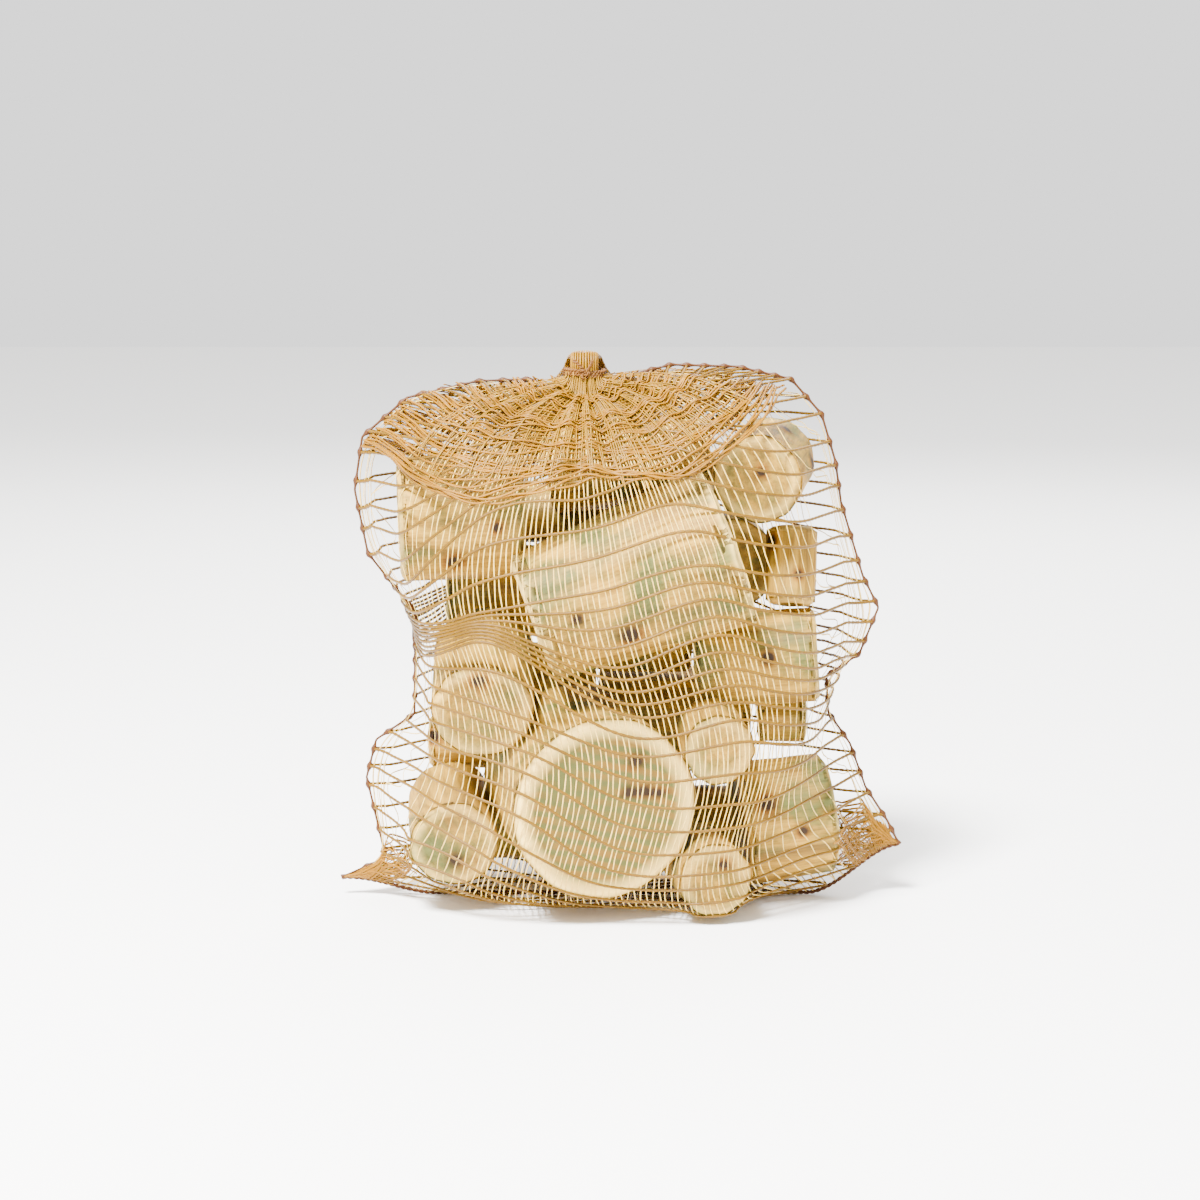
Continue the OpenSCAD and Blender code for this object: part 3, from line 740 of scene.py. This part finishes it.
class MESHBAG_OT_net(bpy.types.Operator):
    """Adds both walls of the net, stretched over the logs, and the seams that join them"""
    bl_idname = "meshbag.add_net"
    bl_label = "Add net"

    def execute(self, context):
        settings = context.scene.meshbag_net
        materials = [
            net_yarn("Net thread, polyethylene", settings.thread, 0.42),
            net_yarn("Net tape, polyethylene", settings.tape, 0.36, spread=0.85, thread_mm=0.8),
        ]
        folded = [
            net_yarn("Folded net thread, polyethylene", settings.fold, 0.42),
            net_yarn("Folded net tape, polyethylene", settings.ear, 0.38, spread=0.8, thread_mm=0.8),
        ]
        seam_yarn = net_yarn("Seam thread, polyethylene", settings.seam, 0.5)
        logs = [LogShape(name) for name in LOG_NODES]
        for side, node in ((FRONT, "net_front_panel"), (BACK, "net_back_panel")):
            skin = Skin(side, logs, settings)
            wall = net_wall("woven_" + node, skin, settings, materials)
            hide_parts(node)
            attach(wall, "bag")
            self.gathers(side, skin, settings, folded)
        self.side_seam(LEFT_EDGE, 1, "side_seam_left", seam_yarn)
        self.side_seam(RIGHT_EDGE, 5, "side_seam_right", seam_yarn)
        self.bottom_seam(seam_yarn)
        return {"FINISHED"}

    def gathers(self, side, skin, settings, materials):
        """The folds of net that lie on each other below the tie and in the bottom corners."""
        strands = StrandMesh()
        rng = random.Random(11 + side)
        for k in range(FOLD_ROWS):
            share = (k + 0.5) / FOLD_ROWS
            ends = [0.995 - 0.08 * share * rng.random() for _ in range(2)]
            u = np.linspace(-ends[0], ends[1], 220)
            slope = np.where(u < 0, 0.11, 0.05) * abs(u) ** 1.5 * (1 - 0.9 * share)
            sag = 0.006 * np.sin(u * 5 + k * 0.4) + 0.003 * np.sin(u * 17 + k * 2.3) - slope
            v = np.clip(0.79 + 0.172 * share + sag, 0.66, 0.963)
            self.fold(strands, skin, v, u, settings.thread_d * 0.8, rng.uniform(-0.0016, 0.002), 0)
        for k in range(FOLD_TAPES):
            u0 = -0.95 + 1.9 * (k + rng.random()) / FOLD_TAPES
            low = 0.80 - (0.1 if u0 < 0 else 0.04) * abs(u0) ** 1.5
            v = np.linspace(low + rng.uniform(-0.02, 0.03), 0.985, 90)
            u = u0 + 0.01 * np.sin(v * 40 + k)
            u = np.clip(u, -0.97, 0.97)
            self.fold(strands, skin, v, u, settings.tape_w, rng.uniform(-0.0012, 0.0016), 1)
        for end in (-1, 1):
            for k in range(CORNER_ROWS):
                share = (k + 0.5) / CORNER_ROWS
                u = end * (1 - np.linspace(0.004, 0.13 + 0.05 * rng.random(), 60))
                v = 0.004 + 0.10 * share * smooth((1 - abs(u)) / 0.09) + 0.002 * np.sin(u * 190 + k)
                self.fold(strands, skin, v, u, settings.thread_d * 0.75, rng.uniform(-0.0002, 0.0008), 0)
            for k in range(CORNER_TAPES):
                u0 = end * (0.85 + 0.14 * (k + rng.random()) / CORNER_TAPES)
                v = np.linspace(0.003, 0.03 + 0.5 * (1 - abs(u0)), 30)
                u = np.full_like(v, u0)
                self.fold(strands, skin, v, u, settings.tape_w, rng.uniform(-0.0002, 0.0008), 0)
        name = "front" if side == FRONT else "back"
        folds = strands.build(f"folds_{name}", materials)
        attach(folds, "bag")

    def fold(self, strands, skin, v, u, size, lift, slot):
        line, normals = skin.at(v, u)
        line, normals, at = respaced(line + normals * lift, normals, 0.0018)
        line[:, 1] = skin.side * np.maximum(skin.side * line[:, 1], 0.0005)
        wide = size * (0.85 + 0.3 * np.sin(at / 0.0042 * math.pi) ** 2)
        strands.strand(line, normals, wide, size * 0.6, 4, slot)

    def finish_seam(self, strands, node, material):
        seam = strands.build("stitched_" + node, [material])
        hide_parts(node)
        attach(seam, "bag")

    def side_seam(self, table, column, node, material):
        """A thin edge cord with a knot where each cross thread ends in it."""
        strands = StrandMesh()
        v = np.linspace(0, SEAM_END, 400)
        x, z = table_at(table, 1, v) * MM, table_at(table, 2, v) * MM
        z = np.minimum(z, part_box(node)[1][2])
        lengths = np.concatenate([[0], np.cumsum(np.hypot(np.diff(x), np.diff(z)))])
        line = np.stack([x, np.zeros_like(x), z], 1)
        normals = np.tile([0.0, -1, 0], (len(v), 1))
        line, normals, at = respaced(line, normals, 0.001)
        thick = np.full(len(at), 0.0011)
        for row in ROW_NUMBERS:
            end = table_at(ROWS, column, row)
            if end >= 0:
                where = np.interp(end, v, lengths)
                thick = thick + 0.0019 * np.exp(-((at - where) / 0.0017) ** 2)
        thick = np.minimum(thick, 0.0032)
        strands.strand(line, normals, thick, thick, 8, 0)
        self.finish_seam(strands, node, material)

    def bottom_seam(self, material):
        """The sewn bottom edge: a double cord with a stitch over it every few millimetres."""
        strands = StrandMesh()
        u = np.linspace(-1, 1, 500)
        left_x, right_x = LEFT_EDGE[0][1] * MM, RIGHT_EDGE[0][1] * MM
        x = left_x + (right_x - left_x) * (u + 1) / 2
        edge_z = (LEFT_EDGE[0][2] + (RIGHT_EDGE[0][2] - LEFT_EDGE[0][2]) * (u + 1) / 2) * MM
        drop = smooth(np.minimum(x - left_x, right_x - x) / EDGE_RISE)
        z = edge_z + (0.0013 - edge_z) * drop
        centre = np.stack([x, np.zeros_like(x), z], 1)
        normals = np.tile([0.0, -1, 0], (len(u), 1))
        centre, normals, at = respaced(centre, normals, 0.0008)
        for way in (-1, 1):
            twist = at / 0.006 * 2 * math.pi
            side = np.stack([np.zeros_like(at), np.cos(twist), np.sin(twist)], 1) * 0.0005 * way
            strands.strand(centre + side, normals, 0.0013, 0.0013, 6, 0)
        self.finish_seam(strands, "bottom_seam", material)


class MESHBAG_OT_tie(bpy.types.Operator):
    """Adds the twine round the neck, with its knot and two short ends"""
    bl_idname = "meshbag.add_tie"
    bl_label = "Add tie"

    def execute(self, context):
        settings = context.scene.meshbag_net
        twine = net_yarn("Tying twine, polypropylene", settings.twine, 0.55, thread_mm=0.3)
        strands = StrandMesh()
        low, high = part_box("neck_tie")
        radius = (high[0] - low[0]) / 2 - 0.0009
        turns = np.linspace(0, 3 * 2 * math.pi, 260)
        height = np.interp(turns, [0, turns[-1]], [-0.0052, -0.0020]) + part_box("net_front_panel")[1][2]
        ring = np.stack([NECK_X + radius * np.sin(turns), -radius * np.cos(turns), height], 1)
        self.twist(strands, ring)
        knot = np.array([NECK_X, -radius - 0.0002, ring[:, 2].mean()])
        t = np.linspace(0, 2 * math.pi, 90)
        bow = np.stack([
            (np.sin(t) + 2 * np.sin(2 * t)) * 0.0008, -np.sin(3 * t) * 0.0009 - 0.0003,
            (np.cos(t) - 2 * np.cos(2 * t)) * 0.0008,
        ], 1)
        self.twist(strands, knot + bow)
        t = np.linspace(0, 1, 30)
        for lean in (-0.55, 0.5):
            end = np.stack([
                lean * 0.0088 * t + 0.0006 * np.sin(4 * t), -0.0008 * np.sin(3 * t) - 0.0003,
                0.0078 * t - 0.0012 * t * t,
            ], 1)
            self.twist(strands, knot + end)
        tie = strands.build("twine_neck_tie", [twine])
        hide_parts("neck_tie")
        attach(tie, "bag")
        return {"FINISHED"}

    def twist(self, strands, line):
        """Two plies laid round each other."""
        normals = np.tile([0.0, 0.02, 1.0], (len(line), 1))
        line, normals, at = respaced(line, normals, 0.0004)
        tangents = np.gradient(line, axis=0)
        tangents /= np.linalg.norm(tangents, axis=1, keepdims=True) + 1e-12
        side = np.cross(tangents, normals)
        side /= np.linalg.norm(side, axis=1, keepdims=True) + 1e-12
        up = np.cross(side, tangents)
        phase = at / TWINE_LAY * 2 * math.pi
        for way in (0, math.pi):
            off = side * np.cos(phase + way)[:, None] + up * np.sin(phase + way)[:, None]
            strands.strand(line + off * 0.00042, off, PLY_D, PLY_D, 6, 0)


# Middle line of the hanging mouth: distance along it, then Y and the height over the neck, in mm.
TAIL_LINE = [
    (0, 3, 5), (10, 12, 3), (19, 20, -4), (35, 34, -12), (54, 49, -24), (75, 62, -40), (98, 70, -61),
]
TAIL_LEN, HEM_LEN = 0.074, 0.008
ROOT_LEN = 0.015  # the first stretch of the mouth, drawn as part of the gather that bends at the tie
MOUTH_ROW_STEP, MOUTH_TAPES = 0.0052, 96
HEM_STEP = 0.0014


class MESHBAG_OT_mouth(bpy.types.Operator):
    """Adds the gathered mouth that hangs behind the bag, its hem, and the gather that joins it to the neck"""
    bl_idname = "meshbag.add_mouth"
    bl_label = "Add mouth"

    def execute(self, context):
        settings = context.scene.meshbag_net
        materials = [
            net_yarn("Mouth thread, polyethylene", settings.fold, 0.42),
            net_yarn("Mouth tape, polyethylene", settings.ear, 0.38, spread=0.8, thread_mm=0.8),
        ]
        strands = StrandMesh()
        around = np.linspace(0, 2 * math.pi, 150)
        for s in np.arange(ROOT_LEN, TAIL_LEN, MOUTH_ROW_STEP):
            line, normals, at = respaced(*self.surface(np.full_like(around, s), around), 0.0013)
            strands.strand(line, normals, settings.thread_d * 0.85, settings.thread_d * 0.7, 5, 0)
        lengths = np.linspace(ROOT_LEN, TAIL_LEN, 60)
        for k in range(MOUTH_TAPES):
            angle = 2 * math.pi * (k + 0.5) / MOUTH_TAPES
            line, normals = self.surface(lengths, np.full_like(lengths, angle))
            strands.strand(line, normals, settings.tape_w, settings.tape_t, 4, 1)
        tail = strands.build("gathered_mouth_tail", materials)
        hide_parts("mouth_tail")
        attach(tail, "mouth")
        self.hem(net_yarn("Hem thread, polyethylene", settings.seam, 0.5))
        self.gather(materials)
        return {"FINISHED"}

    def surface(self, s, angle, ripple=1.0):
        """Points and outward normals on the flattened, pleated tube of the mouth."""
        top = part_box("net_front_panel")[1][2]
        s_mm = np.asarray(s) / MM
        y, z = table_at(TAIL_LINE, 1, s_mm) * MM, top + table_at(TAIL_LINE, 2, s_mm) * MM
        dy = table_at(TAIL_LINE, 1, s_mm + 4) * MM - y
        dz = top + table_at(TAIL_LINE, 2, s_mm + 4) * MM - z
        size = np.hypot(dy, dz) + 1e-9
        up = np.stack([np.zeros_like(y), -dz / size, dy / size], 1)
        share = np.clip(s / TAIL_LEN, 0, 1)
        wide = 0.0062 + 0.029 * share ** 1.35
        thick = 0.0016 - 0.001 * share
        wave = ripple * 0.0011 * np.sin(angle * 22) * smooth(share * 3)
        right = np.array([1.0, 0, 0])
        out = np.cos(angle)[:, None] * right + np.sin(angle)[:, None] * up
        line = np.stack([np.full_like(y, NECK_X), y, z], 1)
        line = line + (wide * np.cos(angle))[:, None] * right + (thick * np.sin(angle) + wave)[:, None] * up
        return line, out

    def hem(self, material):
        """A sewn band along the mouth: rows of stitches side by side round the edge."""
        strands = StrandMesh()
        around = np.linspace(0, 2 * math.pi, 160)
        for s in np.arange(TAIL_LEN - 0.0006, TAIL_LEN + HEM_LEN - 0.0004, HEM_STEP):
            line, normals, at = respaced(*self.surface(np.full_like(around, s), around), 0.0011)
            stitch = 0.0014 + 0.0004 * np.abs(np.sin(at / 0.0022 * math.pi))
            strands.strand(line, normals, stitch, stitch, 5, 0)
        hem = strands.build("sewn_mouth_hem", [material])
        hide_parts("mouth_hem")
        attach(hem, "mouth")

    def gather(self, materials):
        """The short stretch of bunched net between the tie and the folded mouth."""
        strands = StrandMesh()
        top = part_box("net_front_panel")[1][2]
        t = np.linspace(0, 1, 14)[:, None]
        reach = np.linspace(0.0005, ROOT_LEN + 0.002, 9)
        for ring, share in enumerate((1, 0.79, 0.55, 0.27)):
            count, radius = 30 - 6 * ring, 0.0066 * share
            for k in range(count):
                angle = 2 * math.pi * (k + 0.5 * ring) / count
                edge, out = self.surface(reach, np.full_like(reach, -angle), ripple=0)
                opposite = self.surface(reach, np.full_like(reach, math.pi - angle), ripple=0)[0]
                middle = (edge + opposite) / 2
                folded = middle + share * (edge - middle)
                x, y = NECK_X + radius * math.cos(angle), radius * math.sin(angle)
                start = np.array([x, y, top - 0.0045])
                bend = np.array([x, y - 0.0005, top + 0.0065 - 0.3 * y])
                rise = (1 - t) ** 2 * start + 2 * t * (1 - t) * bend + t * t * folded[0]
                neck_out = np.array([math.cos(angle), math.sin(angle), 0.2])
                line = np.concatenate([rise, folded[1:]])
                normals = np.concatenate([(1 - t) * neck_out + t * out[0], out[1:]])
                strands.strand(line, normals, 0.0011, 0.0006, 5, k % 2)
        gather = strands.build("neck_gather", materials)
        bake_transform(gather)


# Soft lamps: name, place, side of the lamp in metres, watts.
LIGHTS = [
    ("key", (-0.5, -0.9, 1.6), 0.45, 270), ("fill", (1.4, -1.2, 0.7), 1.2, 4),
    ("back", (0.2, 1.3, 1.2), 1.2, 40),
]
AIM = Vector((-0.0105, -0.04, 0.155))


class MESHBAG_OT_stage(bpy.types.Operator):
    """Adds the floor, the soft studio light and the camera"""
    bl_idname = "meshbag.add_stage"
    bl_label = "Add stage"

    def execute(self, context):
        settings = context.scene.meshbag_stage
        floor_paint, tree, shader = new_material("Studio sweep, matte", 0.9)
        shader.inputs["Base Color"].default_value = settings.floor
        bpy.ops.object.select_all(action="DESELECT")
        bpy.ops.mesh.primitive_plane_add(size=8, location=(0, 0, 0))
        floor = bpy.context.object
        floor.name = "studio_floor"
        floor.data.materials.append(floor_paint)
        world = bpy.data.worlds.new("Studio")
        world.use_nodes = True
        sky = world.node_tree.nodes["Background"]
        sky.inputs[0].default_value = (1, 1, 1, 1)
        sky.inputs[1].default_value = settings.sky
        context.scene.world = world
        for name, place, size, power in LIGHTS:
            self.light(name, place, size, power)
        camera_data = bpy.data.cameras.new("camera")
        camera_data.lens = settings.lens
        camera_data.sensor_width = 36
        camera = bpy.data.objects.new("camera", camera_data)
        context.scene.collection.objects.link(camera)
        distance = settings.view_width * settings.lens / camera_data.sensor_width
        tilt = settings.elevation
        camera.location = AIM + distance * Vector((0, -math.cos(tilt), math.sin(tilt)))
        camera.rotation_euler = (math.pi / 2 - tilt, 0, 0)
        context.scene.camera = camera
        return {"FINISHED"}

    def light(self, name, place, size, power):
        data = bpy.data.lights.new(name, "AREA")
        data.energy, data.size = power, size
        lamp = bpy.data.objects.new(name, data)
        bpy.context.scene.collection.objects.link(lamp)
        lamp.location = place
        lamp.rotation_euler = (Vector((0, 0, 0.12)) - Vector(place)).to_track_quat("-Z", "Y").to_euler()


class MESHBAG_PT_panel(bpy.types.Panel):
    """Settings and one button for each piece or group of pieces"""
    bl_idname = "MESHBAG_PT_panel"
    bl_label = "Mesh bag"
    bl_space_type = "VIEW_3D"
    bl_region_type = "UI"
    bl_category = "Mesh bag"

    def draw(self, context):
        layout = self.layout
        for group in ("meshbag_logs", "meshbag_net", "meshbag_stage"):
            settings = getattr(context.scene, group)
            box = layout.box()
            for key in type(settings).__annotations__:
                box.prop(settings, key)
        for operator in OPERATORS:
            layout.operator(operator.bl_idname)


OPERATORS = (MESHBAG_OT_logs, MESHBAG_OT_net, MESHBAG_OT_tie, MESHBAG_OT_mouth, MESHBAG_OT_stage)
GROUPS = {"meshbag_logs": LogSettings, "meshbag_net": NetSettings, "meshbag_stage": StageSettings}


def register():
    for group in GROUPS.values():
        bpy.utils.register_class(group)
    for name, group in GROUPS.items():
        setattr(bpy.types.Scene, name, PointerProperty(type=group))
    for shown in OPERATORS + (MESHBAG_PT_panel,):
        bpy.utils.register_class(shown)


def unregister():
    for shown in (MESHBAG_PT_panel,) + OPERATORS[::-1]:
        bpy.utils.unregister_class(shown)
    for name, group in GROUPS.items():
        delattr(bpy.types.Scene, name)
        bpy.utils.unregister_class(group)


def main():
    register()
    bpy.ops.meshbag.add_logs()
    bpy.ops.meshbag.add_net()
    bpy.ops.meshbag.add_tie()
    bpy.ops.meshbag.add_mouth()
    bpy.ops.meshbag.add_stage()


if __name__ == "__main__":
    main()
